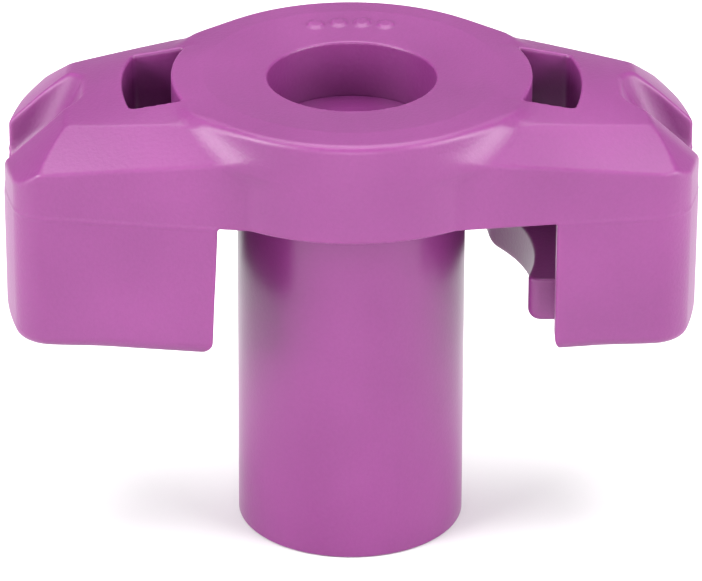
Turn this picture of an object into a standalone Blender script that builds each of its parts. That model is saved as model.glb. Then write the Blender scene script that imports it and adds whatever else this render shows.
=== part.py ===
"""Bayonet nozzle of a pop-up sprinkler, in five moulded pieces.

A winged cap locks the nozzle into the sprinkler by two hooks, one under each wing.
The barrel carries the water up to the cap, a vaned insert calms it, and an orifice
insert at the end of the barrel throws the jet out of the mouth in the cap's top.

Frame: metres, +Z up, +X along the wings. The origin is the centre of the barrel's inlet
end, so the nozzle stands on Z = 0. The cap looks the same after half a turn about Z.
"""

import math

import bmesh
import bpy
from mathutils import Vector

MM = 0.001

# Overall
HEIGHT = 25.6 * MM            # inlet end to the top of the cap
FIT_GAP = 0.3 * MM            # clearance kept between neighbouring pieces
SMALL = 1e-6

# Cap: drum, plate and wings
DRUM_RADIUS = 9.5 * MM
DRUM_EDGE = 0.6 * MM          # rounding of the drum's top edge
CREST_RADIUS = 7.8 * MM       # inside it, the drum's top is a shallow dish
DISH_DEPTH = 0.33 * MM
TIP_RADIUS = 18.2 * MM        # the wing tips lie on this circle
TIP_CORNER = 2.0 * MM         # plan rounding between a wing's side and its tip
SIDE_AT_CENTRE = 8.65 * MM    # half width of the wings, where their sides cross X = 0
SIDE_TAPER = 0.145            # half width lost per unit of X
PLATE_TOP = HEIGHT - 0.08 * MM
UNDERSIDE = HEIGHT - 5.53 * MM
LEG_BOTTOM = HEIGHT - 12.97 * MM
LEG_DRAFT = (0.995, 0.983)    # the legs' plan shrinks by these factors, in X and Y, to their bottom
LEG_EDGE = 0.9 * MM           # rounding of the legs' bottom edges
SLOPE_START = 9.78 * MM       # the wings' top is conical outside this radius
SHOULDER_RADIUS = 15.1 * MM   # and steeper outside this one
TOP_SLOPE = 0.25
END_SLOPE = 0.80

# The facet along each wing's side is a plane through this point
FACET_POINT = (12.0 * MM, 6.91 * MM, HEIGHT - 2.58 * MM)
FACET_SLOPE_X = 0.2325
FACET_SLOPE_Y = 0.75

# Bayonet: the bay between the legs, the grooves over the hooks, the windows above them
GROOVE_RADIUS = 12.0 * MM
GROOVE_HALF_WIDTH = 3.39 * MM
HOOK_TOP = HEIGHT - 10.48 * MM
HOOK_RADIUS = 9.6 * MM        # inner face of the hook and of the stop wall
HOOK_CORNER = 0.95 * MM
ENTRY_X = 10.5 * MM           # inner edge of the leg beside the entry pocket
STOP_X = 7.15 * MM            # where the stop wall leaves the hook's circle
STOP_END_X = 6.9 * MM         # where it reaches the wing's side
WINDOW_INNER = 9.0 * MM       # hidden inside the drum's wall

# Thumb scoop in each wing tip: a channel with a rounded inner end and a slanted floor
SCOOP_START = 14.1 * MM       # X of the inner end
SCOOP_HALF_WIDTH = 2.35 * MM
SCOOP_CORNER = 1.6 * MM       # plan rounding of the inner end
SCOOP_FLOOR = (15.0 * MM, HEIGHT - 4.0 * MM)
SCOOP_FALL = 0.65
SCOOP_FILLET = 0.8 * MM       # rounding between the floor and the walls

# Mouth and barrel seat in the cap
MOUTH_RADIUS = 4.4 * MM
SEAT_TOP = HEIGHT - 3.13 * MM
COLLAR_RADIUS = 6.9 * MM
KEY_RADIUS = 7.9 * MM         # reach of the two keys on the collar
KEY_WIDTH = 2.0 * MM
KEY_INSET = 0.15 * MM         # the keys are this much thinner than the collar, each side
KEY_ROOT = 1.0 * MM           # the keys start this far inside the collar's edge

# Barrel
BARREL_RADIUS = 6.0 * MM
BORE_RADIUS = 4.5 * MM
BARREL_TOP = SEAT_TOP - FIT_GAP
COLLAR_HEIGHT = 1.0 * MM
END_WALL = 1.9 * MM
BARREL_EDGE = 0.25 * MM

# Orifice insert
JET_RADIUS = 1.0 * MM
INSERT_RADIUS = 1.9 * MM
INSERT_FLANGE_RADIUS = 2.7 * MM
INSERT_FLANGE_HEIGHT = 0.8 * MM
JET_LAND = 0.8 * MM           # length of the straight jet bore

# Stream straightener
STRAIGHTENER_TOP = 15.0 * MM
STRAIGHTENER_LENGTH = 7.0 * MM
STRAIGHTENER_WALL = 0.6 * MM
VANE_THICKNESS = 0.5 * MM
VANE_COUNT = 3                # full-width vanes, so six passages

VANE_INSET = 0.2 * MM         # the vanes stop short of the ring's ends, each by a bit more
SEAL_HEIGHT = 1.0 * MM        # ring around the barrel, under its collar
BEYOND = 1.0 * MM             # how far a cutter reaches past what it cuts

STEPS = 96                    # facets around a turned piece
SHARP_ANGLE = math.radians(32)

CAP_COLOUR = (0.45, 0.12, 0.38)
BARREL_COLOUR = (0.44, 0.12, 0.37)
INSERT_COLOUR = (0.40, 0.13, 0.34)
SEAL_COLOUR = (0.02, 0.02, 0.02)


def clear_scene():
    for obj in list(bpy.data.objects):
        bpy.data.objects.remove(obj, do_unlink=True)


def new_collection(name):
    collection = bpy.data.collections.new(name)
    bpy.context.scene.collection.children.link(collection)
    return collection


def plastic(name, colour, roughness):
    material = bpy.data.materials.new(name)
    material.use_nodes = True
    shader = material.node_tree.nodes["Principled BSDF"]
    shader.inputs["Base Color"].default_value = (*colour, 1.0)
    shader.inputs["Roughness"].default_value = roughness
    shader.inputs["Metallic"].default_value = 0.0
    return material


def new_object(name, mesh, collection, material=None):
    obj = bpy.data.objects.new(name, mesh)
    collection.objects.link(obj)
    if material:
        mesh.materials.append(material)
    return obj


def mark_cutter(obj):
    obj.display_type = "WIRE"
    obj.hide_render = True
    return obj


def arc(radius, start, end, count, centre=(0.0, 0.0)):
    """Points on a circle from the start angle to the end angle, both included."""
    points = []
    for i in range(count + 1):
        angle = start + (end - start) * i / count
        points.append((centre[0] + radius * math.cos(angle), centre[1] + radius * math.sin(angle)))
    return points


def half_turn(points):
    return [(-x, -y) for x, y in points]


def prism_bmesh(outline, bottom, top):
    """A closed prism over an outline that runs anticlockwise."""
    bm = bmesh.new()
    face = bm.faces.new([bm.verts.new((x, y, bottom)) for x, y in outline])
    raised = bmesh.ops.extrude_face_region(bm, geom=[face])["geom"]
    for vert in raised:
        if isinstance(vert, bmesh.types.BMVert):
            vert.co.z = top
    bmesh.ops.recalc_face_normals(bm, faces=bm.faces)
    return bm


def finish_mesh(name, bm):
    mesh = bpy.data.meshes.new(name)
    bm.to_mesh(mesh)
    bm.free()
    return mesh


def prism_cutter(name, outline, bottom, top, collection):
    mesh = finish_mesh(name, prism_bmesh(outline, bottom, top))
    return mark_cutter(new_object(name, mesh, collection))


def turned(name, profile, collection, material=None, closed=False, steps=STEPS):
    """A turned shape. The profile lists (radius, z) and runs down its outer side."""
    bm = bmesh.new()
    verts = [bm.verts.new((radius, 0.0, z)) for radius, z in profile]
    for a, b in zip(verts, verts[1:]):
        bm.edges.new((a, b))
    if closed:
        bm.edges.new((verts[-1], verts[0]))
    obj = new_object(name, finish_mesh(name, bm), collection, material)
    screw = obj.modifiers.new("Turn", "SCREW")
    screw.axis = "Z"
    screw.steps = steps
    screw.render_steps = steps
    screw.use_merge_vertices = True
    screw.merge_threshold = 0.00001
    screw.use_smooth_shade = False
    return obj


def boolean(target, operation, other):
    modifier = target.modifiers.new(other.name, "BOOLEAN")
    modifier.operation = operation
    modifier.solver = "EXACT"
    modifier.object = other


def rounded_edge(radius, z, edge, count=4):
    """Profile points for a convex top edge at an outer radius."""
    centre = (radius - edge, z - edge)
    return arc(edge, math.pi / 2, 0.0, count, centre)


def tip_corner():
    """Centre of the arc between a wing's side and its tip, and its two end angles."""
    length = math.hypot(1.0, SIDE_TAPER)
    normal = Vector((SIDE_TAPER / length, 1.0 / length))
    along = Vector((normal.y, -normal.x))
    inset = SIDE_AT_CENTRE / length - TIP_CORNER
    reach = math.sqrt((TIP_RADIUS - TIP_CORNER) ** 2 - inset ** 2)
    centre = normal * inset + along * reach
    return centre, math.atan2(normal.y, normal.x), math.atan2(centre.y, centre.x)


def wing_outline():
    """Plan of both wings, anticlockwise from the tip at +X."""
    centre, side_angle, tip_angle = tip_corner()
    quarter = arc(TIP_RADIUS, 0.0, tip_angle, 5)[:-1]
    quarter += arc(TIP_CORNER, tip_angle, side_angle, 6, tuple(centre))
    quarter.append((0.0, SIDE_AT_CENTRE))
    half = quarter + [(-x, y) for x, y in reversed(quarter[1:-1])]
    return half + half_turn(half)


def facet_planes():
    """Point and outward normal of the facet on each side of each wing."""
    for x_side in (1, -1):
        for y_side in (1, -1):
            point = Vector((x_side * FACET_POINT[0], y_side * FACET_POINT[1], FACET_POINT[2]))
            normal = Vector((x_side * FACET_SLOPE_X, y_side * FACET_SLOPE_Y, 1.0)).normalized()
            yield point, normal


def slice_off(bm, point, normal):
    """Remove what lies beyond a plane and close the cut."""
    geometry = bm.verts[:] + bm.edges[:] + bm.faces[:]
    cut = bmesh.ops.bisect_plane(
        bm, geom=geometry, plane_co=point, plane_no=normal, dist=SMALL * 0.1, clear_outer=True)
    edges = [item for item in cut["geom_cut"] if isinstance(item, bmesh.types.BMEdge)]
    bmesh.ops.contextual_create(bm, geom=edges)


def wing_block_mesh():
    """Both wings with their legs as one solid block, before the underside is opened."""
    bm = prism_bmesh(wing_outline(), UNDERSIDE, HEIGHT)
    bottom = [face for face in bm.faces if face.normal.z < -0.9]
    lowered = bmesh.ops.extrude_face_region(bm, geom=bottom)["geom"]
    bmesh.ops.delete(bm, geom=bottom, context="FACES_ONLY")
    for vert in lowered:
        if isinstance(vert, bmesh.types.BMVert):
            vert.co.x *= LEG_DRAFT[0]
            vert.co.y *= LEG_DRAFT[1]
            vert.co.z = LEG_BOTTOM
    bmesh.ops.recalc_face_normals(bm, faces=bm.faces)
    rim = [edge for edge in bm.edges if all(abs(v.co.z - LEG_BOTTOM) < SMALL for v in edge.verts)]
    bmesh.ops.bevel(bm, geom=rim, offset=LEG_EDGE, segments=3, profile=0.5, affect="EDGES")
    for point, normal in facet_planes():
        slice_off(bm, point, normal)
    bmesh.ops.recalc_face_normals(bm, faces=bm.faces)
    return finish_mesh("winged_cap", bm)


def bay_outline():
    """Plan of the space between the legs, which the hooks and stop walls bound."""
    groove_angle = math.asin(GROOVE_HALF_WIDTH / GROOVE_RADIUS)
    entry_angle = math.acos(ENTRY_X / GROOVE_RADIUS)
    corner_y = HOOK_CORNER - GROOVE_HALF_WIDTH
    corner = (math.sqrt((HOOK_RADIUS + HOOK_CORNER) ** 2 - corner_y ** 2), corner_y)
    stop_angle = math.acos(STOP_X / HOOK_RADIUS)
    corner_angle = math.atan2(corner[1], corner[0])
    outside = SIDE_AT_CENTRE + BEYOND
    right = [(ENTRY_X, -outside)]
    right += arc(GROOVE_RADIUS, -entry_angle, -groove_angle, 4)
    right += arc(HOOK_CORNER, -math.pi / 2, -math.pi + corner_angle, 4, corner)
    right += arc(HOOK_RADIUS, corner_angle, stop_angle, 10)[1:]
    right += [(STOP_END_X, SIDE_AT_CENTRE - SIDE_TAPER * STOP_END_X), (STOP_END_X, outside)]
    return right + half_turn(right)


def groove_outline():
    """Plan of the bayonet grooves over both hooks, and of the space between them."""
    angle = math.asin(GROOVE_HALF_WIDTH / GROOVE_RADIUS)
    right = arc(GROOVE_RADIUS, -angle, angle, 8)
    return right + half_turn(right)


def window_outline():
    """Plan of one window, at +X. Its inner side is hidden in the drum's wall."""
    outer = math.asin(GROOVE_HALF_WIDTH / GROOVE_RADIUS)
    inner = math.asin(GROOVE_HALF_WIDTH / WINDOW_INNER)
    return arc(GROOVE_RADIUS, -outer, outer, 8) + arc(WINDOW_INNER, inner, -inner, 8)


def wing_top_profile():
    """Turned envelope of the wings: a flat middle, a conical top and a steeper rim."""
    outside = TIP_RADIUS + BEYOND
    shoulder_z = PLATE_TOP - TOP_SLOPE * (SHOULDER_RADIUS - SLOPE_START)
    rim_z = shoulder_z - END_SLOPE * (outside - SHOULDER_RADIUS)
    below = LEG_BOTTOM - BEYOND
    return [(0.0, PLATE_TOP), (SLOPE_START, PLATE_TOP), (SHOULDER_RADIUS, shoulder_z),
            (outside, rim_z), (outside, below), (0.0, below)]


def scoop_outline():
    """Plan of the thumb scoop at +X, open at the tip."""
    outside = TIP_RADIUS + BEYOND
    inner = SCOOP_START + SCOOP_CORNER
    side = SCOOP_HALF_WIDTH - SCOOP_CORNER
    corners = arc(SCOOP_CORNER, math.pi / 2, math.pi, 4, (inner, side))
    corners += arc(SCOOP_CORNER, math.pi, math.pi * 1.5, 4, (inner, -side))
    return [(outside, -SCOOP_HALF_WIDTH), (outside, SCOOP_HALF_WIDTH)] + corners


def scoop_cutter(name, outline, collection):
    """A prism over the scoop's outline, with a slanted bottom and a rounded edge around it."""
    bm = prism_bmesh(outline, 0.0, HEIGHT + BEYOND)
    floor = [vert for vert in bm.verts if vert.co.z < SMALL]
    for vert in floor:
        vert.co.z = SCOOP_FLOOR[1] - SCOOP_FALL * (abs(vert.co.x) - SCOOP_FLOOR[0])
    rim = [edge for edge in bm.edges if all(vert in floor for vert in edge.verts)]
    bmesh.ops.bevel(bm, geom=rim, offset=SCOOP_FILLET, segments=3, profile=0.5, affect="EDGES")
    bmesh.ops.recalc_face_normals(bm, faces=bm.faces)
    return mark_cutter(new_object(name, finish_mesh(name, bm), collection))


def bar_outline(width, reach, angle, start=None):
    """Plan of a bar across the axis, or from a start radius outwards, at an angle to +X."""
    inner = -reach if start is None else start
    along = Vector((math.cos(angle), math.sin(angle)))
    across = Vector((-along.y, along.x)) * (width / 2)
    corners = (along * inner - across, along * reach - across,
               along * reach + across, along * inner + across)
    return [tuple(corner) for corner in corners]


def make_cap(parts, cutters):
    cap = new_object("winged_cap", wing_block_mesh(), parts, plastic("cap_plastic", CAP_COLOUR, 0.45))
    envelope = mark_cutter(turned("wing_envelope", wing_top_profile(), cutters))
    boolean(cap, "INTERSECT", envelope)
    above = HEIGHT + BEYOND
    below = LEG_BOTTOM - BEYOND
    boolean(cap, "DIFFERENCE", prism_cutter("bay", bay_outline(), below, UNDERSIDE, cutters))
    boolean(cap, "DIFFERENCE",
            prism_cutter("grooves", groove_outline(), HOOK_TOP, UNDERSIDE, cutters))
    for name, outline in (("right_window", window_outline()),
                          ("left_window", half_turn(window_outline()))):
        boolean(cap, "DIFFERENCE",
                prism_cutter(name, outline, UNDERSIDE - BEYOND, above, cutters))

    dish = HEIGHT - DISH_DEPTH
    drum_profile = [(0.0, dish), (MOUTH_RADIUS, dish), (CREST_RADIUS, HEIGHT)]
    drum_profile += rounded_edge(DRUM_RADIUS, HEIGHT, DRUM_EDGE)
    drum_profile += [(DRUM_RADIUS, UNDERSIDE), (0.0, UNDERSIDE)]
    boolean(cap, "UNION", mark_cutter(turned("drum", drum_profile, cutters)))

    seat_radius = COLLAR_RADIUS + FIT_GAP
    seat_bottom = UNDERSIDE - BEYOND
    seat_profile = [(0.0, above), (MOUTH_RADIUS, above), (MOUTH_RADIUS, SEAT_TOP),
                    (seat_radius, SEAT_TOP), (seat_radius, seat_bottom), (0.0, seat_bottom)]
    boolean(cap, "DIFFERENCE", mark_cutter(turned("mouth_and_seat", seat_profile, cutters)))
    keyway = bar_outline(KEY_WIDTH + 2 * FIT_GAP, KEY_RADIUS + FIT_GAP, math.pi / 2)
    boolean(cap, "DIFFERENCE",
            prism_cutter("keyways", keyway, seat_bottom, BARREL_TOP + KEY_INSET, cutters))
    for name, outline in (("right_scoop", scoop_outline()),
                          ("left_scoop", half_turn(scoop_outline()))):
        boolean(cap, "DIFFERENCE", scoop_cutter(name, outline, cutters))
    return cap


def make_barrel(parts, cutters):
    inner_top = BARREL_TOP - END_WALL
    hole = INSERT_RADIUS + FIT_GAP
    collar_bottom = BARREL_TOP - COLLAR_HEIGHT
    profile = [(hole, BARREL_TOP), (COLLAR_RADIUS, BARREL_TOP), (COLLAR_RADIUS, collar_bottom),
               (BARREL_RADIUS, collar_bottom), (BARREL_RADIUS, BARREL_EDGE),
               (BARREL_RADIUS - BARREL_EDGE, 0.0), (BORE_RADIUS, 0.0),
               (BORE_RADIUS, inner_top), (hole, inner_top)]
    material = plastic("barrel_plastic", BARREL_COLOUR, 0.38)
    barrel = turned("nozzle_barrel", profile, parts, material, closed=True)
    for name, side in (("front_key", -1), ("rear_key", 1)):
        outline = bar_outline(KEY_WIDTH, KEY_RADIUS, side * math.pi / 2, COLLAR_RADIUS - KEY_ROOT)
        boolean(barrel, "UNION",
                prism_cutter(name, outline, collar_bottom + KEY_INSET, BARREL_TOP - KEY_INSET, cutters))
    return barrel


def make_orifice(parts):
    flange_top = BARREL_TOP - END_WALL - FIT_GAP
    bottom = flange_top - INSERT_FLANGE_HEIGHT
    land_end = BARREL_TOP - JET_LAND
    profile = [(JET_RADIUS, BARREL_TOP), (INSERT_RADIUS, BARREL_TOP), (INSERT_RADIUS, flange_top),
               (INSERT_FLANGE_RADIUS, flange_top), (INSERT_FLANGE_RADIUS, bottom),
               (2 * JET_RADIUS, bottom), (JET_RADIUS, land_end)]
    return turned("jet_orifice", profile, parts, plastic("insert_plastic", INSERT_COLOUR, 0.4),
                  closed=True, steps=48)


def make_straightener(parts, cutters):
    outer = BORE_RADIUS - FIT_GAP
    inner = outer - STRAIGHTENER_WALL
    bottom = STRAIGHTENER_TOP - STRAIGHTENER_LENGTH
    profile = [(inner, STRAIGHTENER_TOP), (outer, STRAIGHTENER_TOP), (outer, bottom), (inner, bottom)]
    material = plastic("straightener_plastic", INSERT_COLOUR, 0.45)
    ring = turned("stream_straightener", profile, parts, material, closed=True, steps=48)
    reach = inner + STRAIGHTENER_WALL / 2
    for i in range(VANE_COUNT):
        outline = bar_outline(VANE_THICKNESS, reach, math.pi * i / VANE_COUNT)
        inset = VANE_INSET * (1 + i / 2)
        boolean(ring, "UNION",
                prism_cutter(f"vane_{i + 1}", outline, bottom + inset, STRAIGHTENER_TOP - inset, cutters))
    return ring


def make_seal(parts):
    top = BARREL_TOP - COLLAR_HEIGHT - FIT_GAP
    inner = BARREL_RADIUS + FIT_GAP
    outer = COLLAR_RADIUS
    profile = [(inner, top), (outer, top), (outer, top - SEAL_HEIGHT), (inner, top - SEAL_HEIGHT)]
    return turned("flange_seal", profile, parts, plastic("seal_rubber", SEAL_COLOUR, 0.7), closed=True,
                  steps=72)


def smooth(obj):
    """Put the evaluated shape on the object, with smooth shading between its sharp edges."""
    bpy.context.view_layer.update()
    evaluated = obj.evaluated_get(bpy.context.evaluated_depsgraph_get())
    mesh = bpy.data.meshes.new_from_object(evaluated)
    mesh.name = obj.name
    obj.modifiers.clear()
    obj.data = mesh
    mesh.shade_smooth()
    mesh.set_sharp_from_angle(angle=SHARP_ANGLE)


def main():
    clear_scene()
    parts = new_collection("bayonet_nozzle")
    cutters = new_collection("cutters")
    pieces = [make_cap(parts, cutters), make_barrel(parts, cutters), make_orifice(parts),
              make_straightener(parts, cutters), make_seal(parts)]
    for piece in pieces:
        smooth(piece)


main()
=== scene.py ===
"""Looks of the bayonet nozzle: the moulded surfaces, the plastics, the light and the camera.

The cap is modelled as a distance field, so that every edge and corner gets the fillet that
the moulded piece has, and is then meshed. The round pieces are turned profiles.
Lengths are in millimetres until a mesh is made. Depth is measured down from the cap's top.
"""

import math

import bmesh
import bpy
import numpy as np
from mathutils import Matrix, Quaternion, Vector


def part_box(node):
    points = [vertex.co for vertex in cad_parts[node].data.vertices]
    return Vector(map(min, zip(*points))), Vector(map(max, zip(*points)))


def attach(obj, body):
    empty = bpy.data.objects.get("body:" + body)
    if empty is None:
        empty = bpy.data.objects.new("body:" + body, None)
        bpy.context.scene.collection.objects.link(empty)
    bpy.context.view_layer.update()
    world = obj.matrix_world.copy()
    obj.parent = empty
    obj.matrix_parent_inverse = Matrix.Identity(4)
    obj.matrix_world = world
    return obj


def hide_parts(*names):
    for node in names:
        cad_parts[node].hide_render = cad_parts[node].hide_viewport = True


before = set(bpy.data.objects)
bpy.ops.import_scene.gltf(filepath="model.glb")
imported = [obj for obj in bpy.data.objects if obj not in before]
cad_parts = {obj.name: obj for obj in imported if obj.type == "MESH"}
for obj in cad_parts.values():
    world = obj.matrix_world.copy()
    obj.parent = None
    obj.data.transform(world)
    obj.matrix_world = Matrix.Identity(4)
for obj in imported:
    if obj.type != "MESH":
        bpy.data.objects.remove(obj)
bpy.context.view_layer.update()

MM = 0.001

# Sizes that the frame gives
cap_low, cap_high = (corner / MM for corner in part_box("winged_cap"))
barrel_low, barrel_high = (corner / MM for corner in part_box("nozzle_barrel"))
insert_low, insert_high = (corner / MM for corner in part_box("jet_orifice"))
vanes_low, vanes_high = (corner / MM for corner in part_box("stream_straightener"))
seal_low, seal_high = (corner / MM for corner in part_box("flange_seal"))
TOP = cap_high.z
TIP_RADIUS = cap_high.x
DRUM_RADIUS = cap_high.y
LEG_DEPTH = TOP - cap_low.z
FLOOR_DEPTH = TOP - barrel_high.z       # the barrel's end, which closes the mouth

# A fillet given as a pair is its radius and the cosine of the angle between the two surfaces'
# normals. One given as a single number is its radius, between surfaces at right angles.

# Wings, in plan
SIDE_AT_CENTRE = 8.65                   # half width where the sides cross X = 0
SIDE_TAPER = 0.145
TIP_CORNER = (2.0, 0.4)
SIDE_DRAFT = 0.020                      # the legs' sides lean in by this much per unit of depth
TIP_DRAFT = 0.004
PARTING_DEPTH = 5.53                    # of the drum's underside and of the mould's parting line
PARTING_LINE = 0.04                     # height of the fine ridge at the parting line
PARTING_WIDTH = 0.09

# Wings, in height
PLATE_START = 9.22                      # X where the wing's middle line would reach the top's height
PLATE_SLOPE = 0.18
PLATE_CROWN = 0.0206                    # fall of the plate, for the square of the distance off its middle
CROWN_LIMIT = 5.8
RISE_RADIUS = 10.5                      # inside it, the plate's edges rise to the drum's rim
RISE_CURVE = 0.4
RISE_SPAN = (3.4, 5.4)                  # distances off the middle line between which the rise sets in
END_START = 15.0                        # X from which the ends get steeper
END_DEPTH = 1.14
END_CROWN = 0.024
END_SLOPE = 0.84
END_CURVE = 0.02
END_FILLET = (0.9, 0.866)
END_LIFT = 0.45                         # the right wing's front corner stands higher by this
LIFT_SPAN_X = (12.0, 15.0)
LIFT_SPAN_Y = (1.0, 4.0)                # towards the front
FACET_EDGE = 1.10                       # depth of the facets' lower edges where they would cross X = 0
FACET_FALL = 0.1235
FACET_SLOPE = 0.85                      # across the wing, beside the drum, and less towards the tip
FACET_TWIST = 0.0415
FACET_ALONG = 0.05                      # allows for the facets' slope along the wing
FACET_FILLET = (0.25, 0.63)             # at the facets' lower edges

# Drum
CREST_RADIUS = 7.8                      # inside it, the drum's top is a shallow dish
DISH_SLOPE = 0.097
RIM_SLOPE = 0.06
PLATE_FILLET = (5.0, 0.983)             # between the drum's top and the wings' plates
# Between the drum's wall and the wings: radius and cosine, each at the facets, and its change below
WALL_FILLET = ((2.2, -1.1), (0.56, 0.34))
# Along the top's outline: radius and cosine, each on the drum, its change on the wings and at the tips
RIM_FILLET = ((0.4, -0.15, 0.15), (0.0, 0.88, -0.25))
WING_SPAN = (-0.2, 1.5)                 # distances beyond the drum's wall between which the wing begins
TIP_SPAN = (16.5, 17.8)                 # radii between which the tip begins

# Legs
LEG_EXTRA = 0.05                        # the legs end this much lower than the CAD's
LEG_EDGE = 0.9                          # rounding of the legs' bottom edges
HOOK_EDGE_CUT = (0.2, 0.35)             # it is this much smaller under a hook, and more in its rear half
HOOK_EDGE_SPAN = (-2.0, 1.0)            # Y between which the rear half's cut sets in
HOOK_SIDE_SPAN = (5.6, 6.6)             # the cuts fade out between these distances off the middle line
HOOK_RADIUS_SPAN = (11.0, 13.0)         # and between these radii
TIP_EDGE_CUT = 0.3                      # it is this much smaller at the tip
TIP_EDGE_SPAN = (14.0, 17.0)

# Bayonet
GROOVE_RADIUS = 11.95
GROOVE_HALF_WIDTH = 3.39
GROOVE_CORNER = 0.25
GROOVE_FILLET = 0.15
GROOVE_EDGE = 0.12
WINDOW_INNER = 9.40
HOOK_DEPTH = 10.48
HOOK_RADIUS = 9.65
HOOK_FILLET = (0.95, 0.2)
ENTRY_X = 10.5
ENTRY_FILLET = (0.3, 0.87)
ENTRY_CORNER = (0.3, 0.4)
ENTRY_SQUASH = 1.8                      # the entry wall's edges are taller than they are wide
ENTRY_SPAN = (2.5, 4.0)
STOP_POINT = (7.26, 5.8)                # a point of the stop wall, in plan
STOP_START = 1.0                        # Y from which it stands
STOP_LEAN = 0.20
STOP_DRAFT = 0.04
STOP_FILLET = (0.8, 0.85)
BAY_FILLET = 0.1
BAY_EDGE = 0.15

# Thumb scoops
SCOOP_START = (14.0, 0.9)               # X and depth of a point on the inner end
SCOOP_LEAN = 0.45                       # the inner end leans outwards by this much per unit of depth
SCOOP_HALF_WIDTH = 2.35
SCOOP_CORNER = 1.6
SCOOP_FLOOR = (15.0, 4.2)               # X and depth of a point on the floor
SCOOP_FALL = 0.65
SCOOP_FILLET = 0.8
SCOOP_EDGE = (0.2, 0.1)

# Mouth and seat
MOUTH_RADIUS = 4.42
MOUTH_EDGE = 0.06
SEAT_RADIUS = 7.2
SEAT_OVERLAP = 0.08                     # the mouth's wall goes this far past the barrel's end
KEYWAY_HALF_WIDTH = 1.3
KEYWAY_REACH = 8.2
KEYWAY_OVERLAP = 0.15

# Raised pips that stand for the size mark
PIP_CIRCLE = 6.5
PIP_SPAN = (0.32, 0.52)                 # radii between which a pip falls to the drum's top
PIP_HEIGHT = 0.11
PIP_COUNT = 4
PIP_PITCH = math.radians(11)

# Barrel
BARREL_RADIUS = 6.0
BORE_RADIUS = 4.5
END_HOLE_RADIUS = 2.0
END_WALL = 1.9
COLLAR_HEIGHT = 1.0

# Orifice insert
BODY_RADIUS = 1.9
JET_RADIUS = 1.0
JET_LENGTH = 0.8
JET_ENTRY_RADIUS = 2.0
FLANGE_HEIGHT = 0.8

# Stream straightener
RING_HALF_WALL = 0.3
RING_EDGE = 0.2
VANE_COUNT = 3
VANE_HALF_WIDTH = 0.25
VANE_INSET = 0.3                        # the vanes end this far inside the ring's ends
VANE_FILLET = 0.3
VANE_EDGE = 0.2
VANE_RING_FILLET = 0.25

SEAL_INNER_RADIUS = 6.3

# Meshes
CAP_CELL = 0.11
VANES_CELL = 0.1
MARGIN_CELLS = 2                        # cells between a piece's box and the end of its grid
RELAX_ROUNDS = 4
RELAX_SHARE = 0.5
FINAL_ROUNDS = 2
GRADIENT_STEP = 0.1                     # in cells
LARGEST_MOVE = 0.5                      # in cells
LEAST_GRADIENT = 0.2                    # squared; where the field is flatter, vertices move less

# Plastics: dark and light colour, roughness and strength of the grain
PLASTICS = {
    "cap_plastic": ((0.132, 0.017, 0.111), (0.170, 0.025, 0.142), 0.42, 0.50),
    "barrel_plastic": ((0.134, 0.017, 0.112), (0.170, 0.025, 0.143), 0.30, 0.20),
    "insert_plastic": ((0.136, 0.021, 0.113), (0.150, 0.025, 0.125), 0.42, 0.25),
}
CLOUD_SCALE = 170.0
SPECK_SCALE = 5200.0
SPECK_SHARE = 0.5
COLOUR_RANGE = (0.35, 1.15)             # values of cloud and specks for the dark and the light colour
ROUGHNESS_SPREAD = 0.06
GRAIN_HEIGHT = 0.00003                  # metres
SUBSURFACE = 0.30
SUBSURFACE_RADIUS = (1.0, 0.35, 0.8)
SUBSURFACE_SCALE = 0.0016               # metres
PLASTIC_IOR = 1.48

# Rubber
RUBBER_COLOUR = (0.022, 0.021, 0.022)
RUBBER_ROUGHNESS = (0.55, 0.8)
RUBBER_GRAIN_SCALE = 4000.0
RUBBER_GRAIN = 0.4

# Stage, in metres and watts
FLOOR_SIZE = 4.0
FLOOR_DROP = 0.00002
FLOOR_GREY = 0.70
WORLD_STRENGTH = 0.50
LIGHT_TARGET = (0, 0, 0.018)
LIGHTS = (                              # name, diameter, power, place
    ("overhead", 0.60, 4.8, (0.0, 0.05, 0.55)),
    ("front_low", 0.30, 2.2, (0.0, -0.60, 0.06)),
    ("left_low", 0.30, 1.0, (-0.58, -0.15, 0.06)),
    ("right_low", 0.30, 1.9, (0.58, -0.15, 0.06)),
    ("left_high", 0.35, 4.2, (-0.45, -0.25, 0.25)),
    ("right_high", 0.35, 3.3, (0.45, -0.25, 0.25)),
)
CAMERA_ELEVATION = math.radians(26.15)
CAMERA_AZIMUTH = math.radians(-0.7)
CAMERA_ROLL = math.radians(0.2)
CAMERA_DISTANCE = 0.300
CAMERA_AIM = 0.01275                    # below the cap's top
CAMERA_LENS = 290.5                     # millimetres, with a sensor 36 mm wide


# ---------------------------------------------------------------- distance field tools

def blend_min(a, b, radius, cosine=0.0):
    """Union of two fields with a concave fillet.

    cosine is that of the angle between their surfaces' normals.
    """
    u = radius - a
    v = radius - b
    gap = np.sqrt(np.maximum(u * u + v * v - 2 * u * v * cosine, 0) / (1 - cosine * cosine))
    in_fillet = (u > cosine * v) & (v > cosine * u)
    return np.where(in_fillet, radius - gap, np.minimum(a, b))


def blend_max(a, b, radius, cosine=0.0):
    """Intersection of two fields with a rounded edge."""
    return -blend_min(-a, -b, radius, cosine)


def ramp(value, start, end):
    """0 before start, 1 after end, smooth between."""
    t = np.clip((value - start) / (end - start), 0, 1)
    return t * t * (3 - 2 * t)


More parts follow.
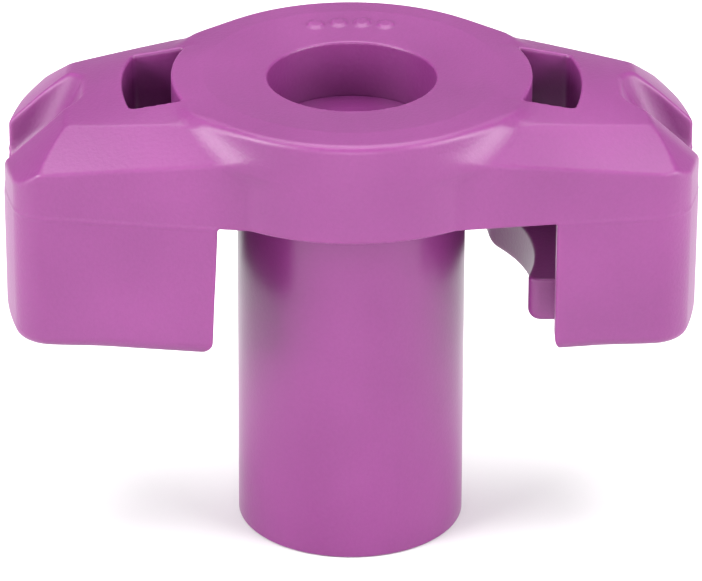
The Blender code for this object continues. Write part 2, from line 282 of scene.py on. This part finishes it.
def surface_net(distance, low, high, cell):
    """Vertices and outward quads of the zero surface of a distance field."""
    margin = MARGIN_CELLS * cell
    axes = [np.arange(lo - margin, hi + margin + cell, cell) for lo, hi in zip(low, high)]
    values = distance(*np.meshgrid(*axes, indexing="ij", sparse=True))
    shape = np.array(values.shape)
    points, cells, flips = [], [], []
    for axis in range(3):
        first = np.take(values, range(shape[axis] - 1), axis)
        second = np.take(values, range(1, shape[axis]), axis)
        index = np.argwhere((first < 0) != (second < 0))
        a = first[tuple(index.T)]
        b = second[tuple(index.T)]
        crossing = index.astype(float)
        crossing[:, axis] += a / (a - b)
        across, along = (axis + 1) % 3, (axis + 2) % 3
        for step_across, step_along in ((-1, -1), (0, -1), (0, 0), (-1, 0)):
            neighbour = index.copy()
            neighbour[:, across] += step_across
            neighbour[:, along] += step_along
            cells.append(np.ravel_multi_index(neighbour.T, shape))
        points.append(crossing)
        flips.append(a > 0)
    quads = [np.stack(cells[4 * axis:4 * axis + 4], 1) for axis in range(3)]
    owner = np.concatenate(quads)
    crossing = np.repeat(np.concatenate(points), 4, axis=0)
    _, inverse = np.unique(owner.ravel(), return_inverse=True)
    inverse = inverse.ravel()
    count = np.bincount(inverse)
    vertices = np.stack([np.bincount(inverse, crossing[:, k]) / count for k in range(3)], 1)
    vertices = vertices * cell + np.array([axis[0] for axis in axes])
    quads = inverse.reshape(-1, 4)
    flipped = np.concatenate(flips)
    quads[flipped] = quads[flipped, ::-1]
    return vertices, quads


def project(vertices, distance, cell, rounds):
    """Move vertices onto the zero surface along the field's gradient."""
    step = GRADIENT_STEP * cell
    limit = LARGEST_MOVE * cell
    for _ in range(rounds):
        x, y, z = vertices.T
        value = distance(x, y, z)
        gradient = np.stack([
            distance(x + step, y, z) - distance(x - step, y, z),
            distance(x, y + step, z) - distance(x, y - step, z),
            distance(x, y, z + step) - distance(x, y, z - step)], 1) / (2 * step)
        squared = np.maximum((gradient ** 2).sum(1), LEAST_GRADIENT)
        move = gradient * (value / squared)[:, None]
        vertices = vertices - np.clip(move, -limit, limit)
    return vertices


def relax(vertices, quads, share):
    """Move each vertex towards the middle of its neighbours, which evens the quads."""
    start = quads.ravel()
    end = np.roll(quads, -1, axis=1).ravel()
    both = np.concatenate([start, end])
    other = np.concatenate([end, start])
    count = np.bincount(both)
    middle = np.stack([np.bincount(both, vertices[other, k]) / count for k in range(3)], 1)
    return vertices + share * (middle - vertices)


def field_mesh(name, distance, low, high, cell):
    """A smooth mesh of a distance field, with its vertices exactly on the surface."""
    vertices, quads = surface_net(distance, low, high, cell)
    for _ in range(RELAX_ROUNDS):
        vertices = relax(vertices, quads, RELAX_SHARE)
        vertices = project(vertices, distance, cell, 1)
    vertices = project(vertices, distance, cell, FINAL_ROUNDS)
    mesh = bpy.data.meshes.new(name)
    mesh.from_pydata((vertices * MM).tolist(), [], quads.tolist())
    mesh.shade_smooth()
    mesh.validate()
    return mesh


# ---------------------------------------------------------------- the cap's distance field

def unit(*vector):
    """The vector at length one."""
    length = math.sqrt(sum(v * v for v in vector))
    return [v / length for v in vector]


def wing_sides(x, y, r, depth):
    """Two fields: the wings as a prism without top and bottom, and the slanted facets that cut it."""
    below = np.maximum(depth - PARTING_DEPTH, 0)
    line = PARTING_LINE * np.exp(-((depth - PARTING_DEPTH) / PARTING_WIDTH) ** 2)
    side_x, side_y = unit(SIDE_TAPER, 1.0)
    side = side_x * x + side_y * np.abs(y) - side_y * SIDE_AT_CENTRE + SIDE_DRAFT * below
    tip = r - TIP_RADIUS + TIP_DRAFT * below
    plan = blend_max(side, tip, *TIP_CORNER) - line
    slope = FACET_SLOPE - FACET_TWIST * (x - DRUM_RADIUS)
    inwards = SIDE_AT_CENTRE - SIDE_TAPER * x - np.abs(y)
    surface = FACET_EDGE + FACET_FALL * x - slope * inwards
    facet = (surface - depth) / np.sqrt(1 + FACET_ALONG + slope * slope)
    return plan, facet


def cap_top(x, y, r, depth, lift):
    """Everything above this field's surface is air: dished drum, crowned wings, steeper ends."""
    off_middle = np.abs(y)
    drum = -depth + np.maximum(DISH_SLOPE * (CREST_RADIUS - r), RIM_SLOPE * (r - CREST_RADIUS))
    crown = PLATE_CROWN * np.minimum(off_middle, CROWN_LIMIT) ** 2
    plate = PLATE_SLOPE * (x - PLATE_START) + crown
    rise = RISE_CURVE * np.maximum(RISE_RADIUS - r, 0) ** 2 * ramp(off_middle, *RISE_SPAN)
    plate = (-depth + plate - rise) / math.hypot(1, PLATE_SLOPE)
    beyond = x - END_START
    end = END_DEPTH - lift + END_CROWN * y ** 2 + END_SLOPE * beyond
    end = (-depth + end + END_CURVE * np.maximum(beyond, 0) ** 2) / math.hypot(1, END_SLOPE)
    wing = blend_max(plate, end, *END_FILLET)
    return blend_max(drum, wing, *PLATE_FILLET)


def bay(x, y, r, depth):
    """Plan of the open space between the legs, for the half at +X."""
    outer = blend_min(r - GROOVE_RADIUS, x - ENTRY_X, *ENTRY_FILLET)
    entry = blend_max(y + GROOVE_HALF_WIDTH, outer, *ENTRY_CORNER)
    lean_x, lean_y = unit(1.0, STOP_LEAN)
    draft = STOP_DRAFT * np.maximum(depth - PARTING_DEPTH, 0)
    wall = lean_x * (x - STOP_POINT[0]) + lean_y * (y - STOP_POINT[1]) - draft
    stop = np.maximum(wall, STOP_START - y)
    inner = blend_min(r - HOOK_RADIUS, entry, *HOOK_FILLET)
    return blend_min(inner, stop, *STOP_FILLET)


def scoop(x, y, depth):
    """The thumb scoop: a channel down the wing's end with a rounded inner end, open at the tip."""
    start = SCOOP_START[0] + SCOOP_LEAN * (depth - SCOOP_START[1])
    plan = blend_max(np.abs(y) - SCOOP_HALF_WIDTH, start - x, SCOOP_CORNER)
    floor = SCOOP_FLOOR[1] + SCOOP_FALL * (x - SCOOP_FLOOR[0])
    return blend_max(plan, (depth - floor) / math.hypot(1, SCOOP_FALL), SCOOP_FILLET)


def size_pips(x, y):
    """Height of the raised pips on the drum's top."""
    height = 0.0
    for i in range(PIP_COUNT):
        angle = math.pi / 2 + (i - (PIP_COUNT - 1) / 2) * PIP_PITCH
        away = np.hypot(x - PIP_CIRCLE * math.cos(angle), y - PIP_CIRCLE * math.sin(angle))
        height = height + PIP_HEIGHT * (1 - ramp(away, *PIP_SPAN))
    return height


def legs_edge(y, r):
    """Rounding of the legs' bottom edges, which isn't the same everywhere."""
    on_hook = (1 - ramp(np.abs(y), *HOOK_SIDE_SPAN)) * (1 - ramp(r, *HOOK_RADIUS_SPAN))
    hook_cut = HOOK_EDGE_CUT[0] + HOOK_EDGE_CUT[1] * ramp(y, *HOOK_EDGE_SPAN)
    return LEG_EDGE - hook_cut * on_hook - TIP_EDGE_CUT * ramp(r, *TIP_EDGE_SPAN)


def cap_distance(x, y, z):
    """The whole cap."""
    depth = TOP - z
    pips = size_pips(x, y)
    lift = END_LIFT * ramp(x, *LIFT_SPAN_X) * ramp(-y, *LIFT_SPAN_Y)
    side = np.where(x < 0, -1.0, 1.0)
    x, y = x * side, y * side           # one half, because the rest repeats after half a turn
    r = np.hypot(x, y)

    plan, facet = wing_sides(x, y, r, depth)
    sides = blend_max(plan, facet, *FACET_FILLET)
    below_facet = ramp(-facet, 0.0, 1.0)
    radius, cosine = (base + change * below_facet for base, change in WALL_FILLET)
    walls = blend_min(sides, r - DRUM_RADIUS, radius, cosine)

    on_wing = ramp(r - DRUM_RADIUS, *WING_SPAN)
    on_tip = ramp(r, *TIP_SPAN)
    radius, cosine = (base + wing * on_wing + tip * on_tip for base, wing, tip in RIM_FILLET)
    solid = blend_max(walls, cap_top(x, y, r, depth, lift) - pips, radius, cosine)

    squash = 1 + (ENTRY_SQUASH - 1) * ramp(-y, *ENTRY_SPAN)
    below = blend_min(-bay(x, y, r, depth) * squash, depth - PARTING_DEPTH, BAY_FILLET)
    solid = blend_max(solid, below, BAY_EDGE)
    solid = blend_max(solid, depth - LEG_DEPTH - LEG_EXTRA, legs_edge(y, r))

    slot = blend_max(np.abs(y) - GROOVE_HALF_WIDTH, r - GROOVE_RADIUS, GROOVE_CORNER)
    beside_drum = np.minimum(WINDOW_INNER - r, PARTING_DEPTH - depth)
    groove = blend_max(blend_max(slot, beside_drum, GROOVE_FILLET), depth - HOOK_DEPTH, GROOVE_FILLET)
    solid = blend_max(solid, -groove, GROOVE_EDGE)
    solid = blend_max(solid, -scoop(x, y, depth), *SCOOP_EDGE)

    solid = blend_max(solid, MOUTH_RADIUS - r, MOUTH_EDGE)
    seat = np.maximum(r - SEAT_RADIUS, FLOOR_DEPTH + SEAT_OVERLAP - depth)
    keyway = np.maximum(np.abs(x) - KEYWAY_HALF_WIDTH, np.abs(y) - KEYWAY_REACH)
    keyway = np.maximum(keyway, FLOOR_DEPTH + KEYWAY_OVERLAP - depth)
    return np.maximum(solid, -np.minimum(seat, keyway))


# ---------------------------------------------------------------- turned pieces

def lathe(name, profile, steps=192):
    """A turned ring from a closed profile of (radius, z) in millimetres, outer side running down."""
    bm = bmesh.new()
    rings = []
    for i in range(steps):
        angle = 2 * math.pi * i / steps
        cosine, sine = math.cos(angle), math.sin(angle)
        rings.append([bm.verts.new((radius * MM * cosine, radius * MM * sine, z * MM))
                      for radius, z in profile])
    for i in range(steps):
        here, there = rings[i], rings[(i + 1) % steps]
        for j in range(len(profile)):
            k = (j + 1) % len(profile)
            bm.faces.new((here[j], here[k], there[k], there[j]))
    bmesh.ops.recalc_face_normals(bm, faces=bm.faces)
    mesh = bpy.data.meshes.new(name)
    bm.to_mesh(mesh)
    bm.free()
    mesh.shade_smooth()
    return mesh


def rounded(corners, segments=5):
    """A closed profile whose corners, given as (radius, z, rounding), become arcs."""
    points = []
    count = len(corners)
    for i, (radius, z, rounding) in enumerate(corners):
        if rounding <= 0:
            points.append((radius, z))
            continue
        here = Vector((radius, z))
        before = (Vector(corners[i - 1][:2]) - here).normalized()
        after = (Vector(corners[(i + 1) % count][:2]) - here).normalized()
        half = before.angle(after) / 2
        reach = rounding / math.tan(half)
        centre = here + (before + after).normalized() * (rounding / math.sin(half))
        first = here + before * reach - centre
        last = here + after * reach - centre
        turn = first.angle_signed(last)
        for k in range(segments + 1):
            angle = -turn * k / segments
            offset = Vector((first.x * math.cos(angle) - first.y * math.sin(angle),
                             first.x * math.sin(angle) + first.y * math.cos(angle)))
            points.append(tuple(centre + offset))
    return points


def split_long(profile, longest):
    """Add points along a profile's long straights, so that bumps and shading have vertices."""
    points = []
    for i, here in enumerate(profile):
        there = profile[(i + 1) % len(profile)]
        count = max(1, int(math.dist(here, there) / longest))
        for k in range(count):
            points.append(tuple(a + (b - a) * k / count for a, b in zip(here, there)))
    return points


# ---------------------------------------------------------------- materials

def new_material(name):
    """A material, its node tree and its shader."""
    material = bpy.data.materials.new(name)
    material.use_nodes = True
    tree = material.node_tree
    return material, tree, tree.nodes["Principled BSDF"]


def set_inputs(target, **values):
    """Set a node's inputs. A socket's name is written with underscores for its spaces."""
    for name, value in values.items():
        target.inputs[name.replace("_", " ")].default_value = value


def node(tree, kind, **values):
    """Add a node with these input values."""
    new = tree.nodes.new(kind)
    set_inputs(new, **values)
    return new


def moulded_plastic(name, dark, light, roughness, grain):
    """Solid-coloured plastic with a slightly cloudy colour and a fine moulded grain."""
    material, tree, shader = new_material(name)
    link = tree.links.new
    place = tree.nodes.new("ShaderNodeTexCoord")

    cloud = node(tree, "ShaderNodeTexNoise", Scale=CLOUD_SCALE, Detail=1.0, Roughness=0.4)
    link(place.outputs["Object"], cloud.inputs["Vector"])
    speck = node(tree, "ShaderNodeTexNoise", Scale=SPECK_SCALE, Detail=2.0, Roughness=0.6)
    link(place.outputs["Object"], speck.inputs["Vector"])

    both = tree.nodes.new("ShaderNodeMath")
    both.operation = "MULTIPLY_ADD"
    link(speck.outputs["Fac"], both.inputs[0])
    both.inputs[1].default_value = SPECK_SHARE
    link(cloud.outputs["Fac"], both.inputs[2])
    low, high = COLOUR_RANGE
    spread = node(tree, "ShaderNodeMapRange", From_Min=low, From_Max=high)
    link(both.outputs[0], spread.inputs["Value"])
    mix = tree.nodes.new("ShaderNodeMix")
    mix.data_type = "RGBA"
    set_inputs(mix, A=(*dark, 1), B=(*light, 1))
    link(spread.outputs["Result"], mix.inputs["Factor"])
    link(mix.outputs["Result"], shader.inputs["Base Color"])

    rough = node(tree, "ShaderNodeMapRange",
                 To_Min=roughness - ROUGHNESS_SPREAD, To_Max=roughness + ROUGHNESS_SPREAD)
    link(cloud.outputs["Fac"], rough.inputs["Value"])
    link(rough.outputs["Result"], shader.inputs["Roughness"])

    bump = node(tree, "ShaderNodeBump", Strength=grain, Distance=GRAIN_HEIGHT)
    link(speck.outputs["Fac"], bump.inputs["Height"])
    link(bump.outputs["Normal"], shader.inputs["Normal"])
    set_inputs(shader, Subsurface_Weight=SUBSURFACE, Subsurface_Radius=SUBSURFACE_RADIUS,
               Subsurface_Scale=SUBSURFACE_SCALE, IOR=PLASTIC_IOR)
    return material


def rubber(name):
    """Dark rubber with a matte, unevenly rough grain."""
    material, tree, shader = new_material(name)
    link = tree.links.new
    place = tree.nodes.new("ShaderNodeTexCoord")
    grain = node(tree, "ShaderNodeTexNoise", Scale=RUBBER_GRAIN_SCALE, Detail=4.0)
    link(place.outputs["Object"], grain.inputs["Vector"])
    low, high = RUBBER_ROUGHNESS
    rough = node(tree, "ShaderNodeMapRange", To_Min=low, To_Max=high)
    link(grain.outputs["Fac"], rough.inputs["Value"])
    link(rough.outputs["Result"], shader.inputs["Roughness"])
    bump = node(tree, "ShaderNodeBump", Strength=RUBBER_GRAIN, Distance=GRAIN_HEIGHT)
    link(grain.outputs["Fac"], bump.inputs["Height"])
    link(bump.outputs["Normal"], shader.inputs["Normal"])
    set_inputs(shader, Base_Color=(*RUBBER_COLOUR, 1))
    return material


# ---------------------------------------------------------------- pieces

def piece(name, mesh, material, replaced):
    """Add a visible piece and hide the CAD solid that it stands for."""
    obj = bpy.data.objects.new(name, mesh)
    bpy.context.scene.collection.objects.link(obj)
    mesh.materials.append(material)
    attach(obj, "root")
    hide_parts(replaced)


def make_cap(material):
    """The winged cap."""
    mesh = field_mesh("cap_shell", cap_distance, cap_low, cap_high, CAP_CELL)
    piece("cap_shell", mesh, material, "winged_cap")


def make_barrel(material):
    """The tube with its collar and the end wall that closes the mouth."""
    top = barrel_high.z
    foot = barrel_low.z
    collar = barrel_high.x
    collar_bottom = top - COLLAR_HEIGHT
    wall_bottom = top - END_WALL
    corners = [(END_HOLE_RADIUS, top, 0.08), (collar, top, 0.15), (collar, collar_bottom, 0.15),
               (BARREL_RADIUS, collar_bottom, 0.2), (BARREL_RADIUS, foot, 0.12),
               (BORE_RADIUS, foot, 0.2), (BORE_RADIUS, wall_bottom, 0.5),
               (END_HOLE_RADIUS, wall_bottom, 0.08)]
    mesh = lathe("barrel_tube", split_long(rounded(corners), longest=0.8))
    piece("barrel_tube", mesh, material, "nozzle_barrel")


def make_insert(material):
    """The flanged insert with the jet's hole, which widens towards the bore."""
    top = insert_high.z
    bottom = insert_low.z
    flange = insert_high.x
    flange_top = bottom + FLANGE_HEIGHT
    corners = [(JET_RADIUS, top, 0.05), (BODY_RADIUS, top, 0.08), (BODY_RADIUS, flange_top, 0.0),
               (flange, flange_top, 0.1), (flange, bottom, 0.15),
               (JET_ENTRY_RADIUS, bottom, 0.15), (JET_RADIUS, top - JET_LENGTH, 0.6)]
    mesh = lathe("orifice_insert", split_long(rounded(corners), longest=0.4), steps=128)
    piece("orifice_insert", mesh, material, "jet_orifice")


def make_seal(material):
    """The flat seal ring."""
    outer = seal_high.x
    corners = [(SEAL_INNER_RADIUS, seal_high.z, 0.15), (outer, seal_high.z, 0.15),
               (outer, seal_low.z, 0.3), (SEAL_INNER_RADIUS, seal_low.z, 0.3)]
    mesh = lathe("seal_ring", rounded(corners), steps=160)
    piece("seal_ring", mesh, material, "flange_seal")


def straightener_distance(x, y, z):
    """A ring with vanes across it."""
    wall_middle = vanes_high.x - RING_HALF_WALL
    half_length = (vanes_high.z - vanes_low.z) / 2
    r = np.hypot(x, y)
    off_centre = np.abs(z - (vanes_low.z + vanes_high.z) / 2)
    ring = blend_max(np.abs(r - wall_middle) - RING_HALF_WALL, off_centre - half_length, RING_EDGE)
    vanes = np.abs(y) - VANE_HALF_WIDTH
    for i in range(1, VANE_COUNT):
        angle = math.pi * i / VANE_COUNT
        vane = np.abs(-x * math.sin(angle) + y * math.cos(angle)) - VANE_HALF_WIDTH
        vanes = blend_min(vanes, vane, VANE_FILLET)
    vanes = blend_max(vanes, off_centre - (half_length - VANE_INSET), VANE_EDGE)
    vanes = np.maximum(vanes, r - wall_middle)
    return blend_min(ring, vanes, VANE_RING_FILLET)


def make_straightener(material):
    """The vaned insert in the bore."""
    mesh = field_mesh("vane_insert", straightener_distance, vanes_low, vanes_high, VANES_CELL)
    piece("vane_insert", mesh, material, "stream_straightener")


# ---------------------------------------------------------------- stage

def make_floor():
    """A plain pale floor, a hair below the part's foot."""
    bpy.ops.mesh.primitive_plane_add(size=FLOOR_SIZE, location=(0, 0, -FLOOR_DROP))
    floor = bpy.context.object
    floor.name = "studio_floor"
    material, _, shader = new_material("pale_floor")
    set_inputs(shader, Base_Color=(FLOOR_GREY, FLOOR_GREY, FLOOR_GREY, 1), Roughness=0.9,
               Specular_IOR_Level=0.1)
    floor.data.materials.append(material)


def area_light(name, size, power, location):
    """Add a round lamp that points at the part."""
    data = bpy.data.lights.new(name, "AREA")
    data.shape = "DISK"
    data.size = size
    data.energy = power
    light = bpy.data.objects.new(name, data)
    light.location = location
    direction = Vector(LIGHT_TARGET) - Vector(location)
    light.rotation_euler = direction.to_track_quat("-Z", "Y").to_euler()
    bpy.context.scene.collection.objects.link(light)


def make_lights():
    """Soft studio light: an even world and six lamps."""
    world = bpy.data.worlds.new("studio")
    world.use_nodes = True
    set_inputs(world.node_tree.nodes["Background"], Color=(1, 1, 1, 1), Strength=WORLD_STRENGTH)
    bpy.context.scene.world = world
    for light in LIGHTS:
        area_light(*light)
    bpy.context.scene.view_settings.view_transform = "Standard"


def make_camera():
    """A long lens, seen from the front and a little above."""
    target = Vector((0.0, 0.0, TOP * MM - CAMERA_AIM))
    level = math.cos(CAMERA_ELEVATION)
    back = Vector((math.sin(CAMERA_AZIMUTH) * level, -math.cos(CAMERA_AZIMUTH) * level,
                   math.sin(CAMERA_ELEVATION)))
    data = bpy.data.cameras.new("photo_view")
    data.sensor_width = 36.0
    data.lens = CAMERA_LENS
    data.clip_start = 0.01
    camera = bpy.data.objects.new("photo_view", data)
    camera.location = target + back * CAMERA_DISTANCE
    turn = (-back).to_track_quat("-Z", "Y") @ Quaternion((0, 0, 1), CAMERA_ROLL)
    camera.rotation_euler = turn.to_euler()
    bpy.context.scene.collection.objects.link(camera)
    bpy.context.scene.camera = camera


plastics = {name: moulded_plastic(name, *look) for name, look in PLASTICS.items()}

make_camera()
make_cap(plastics["cap_plastic"])
make_barrel(plastics["barrel_plastic"])
make_insert(plastics["insert_plastic"])
make_straightener(plastics["insert_plastic"])
make_seal(rubber("seal_rubber"))
make_floor()
make_lights()
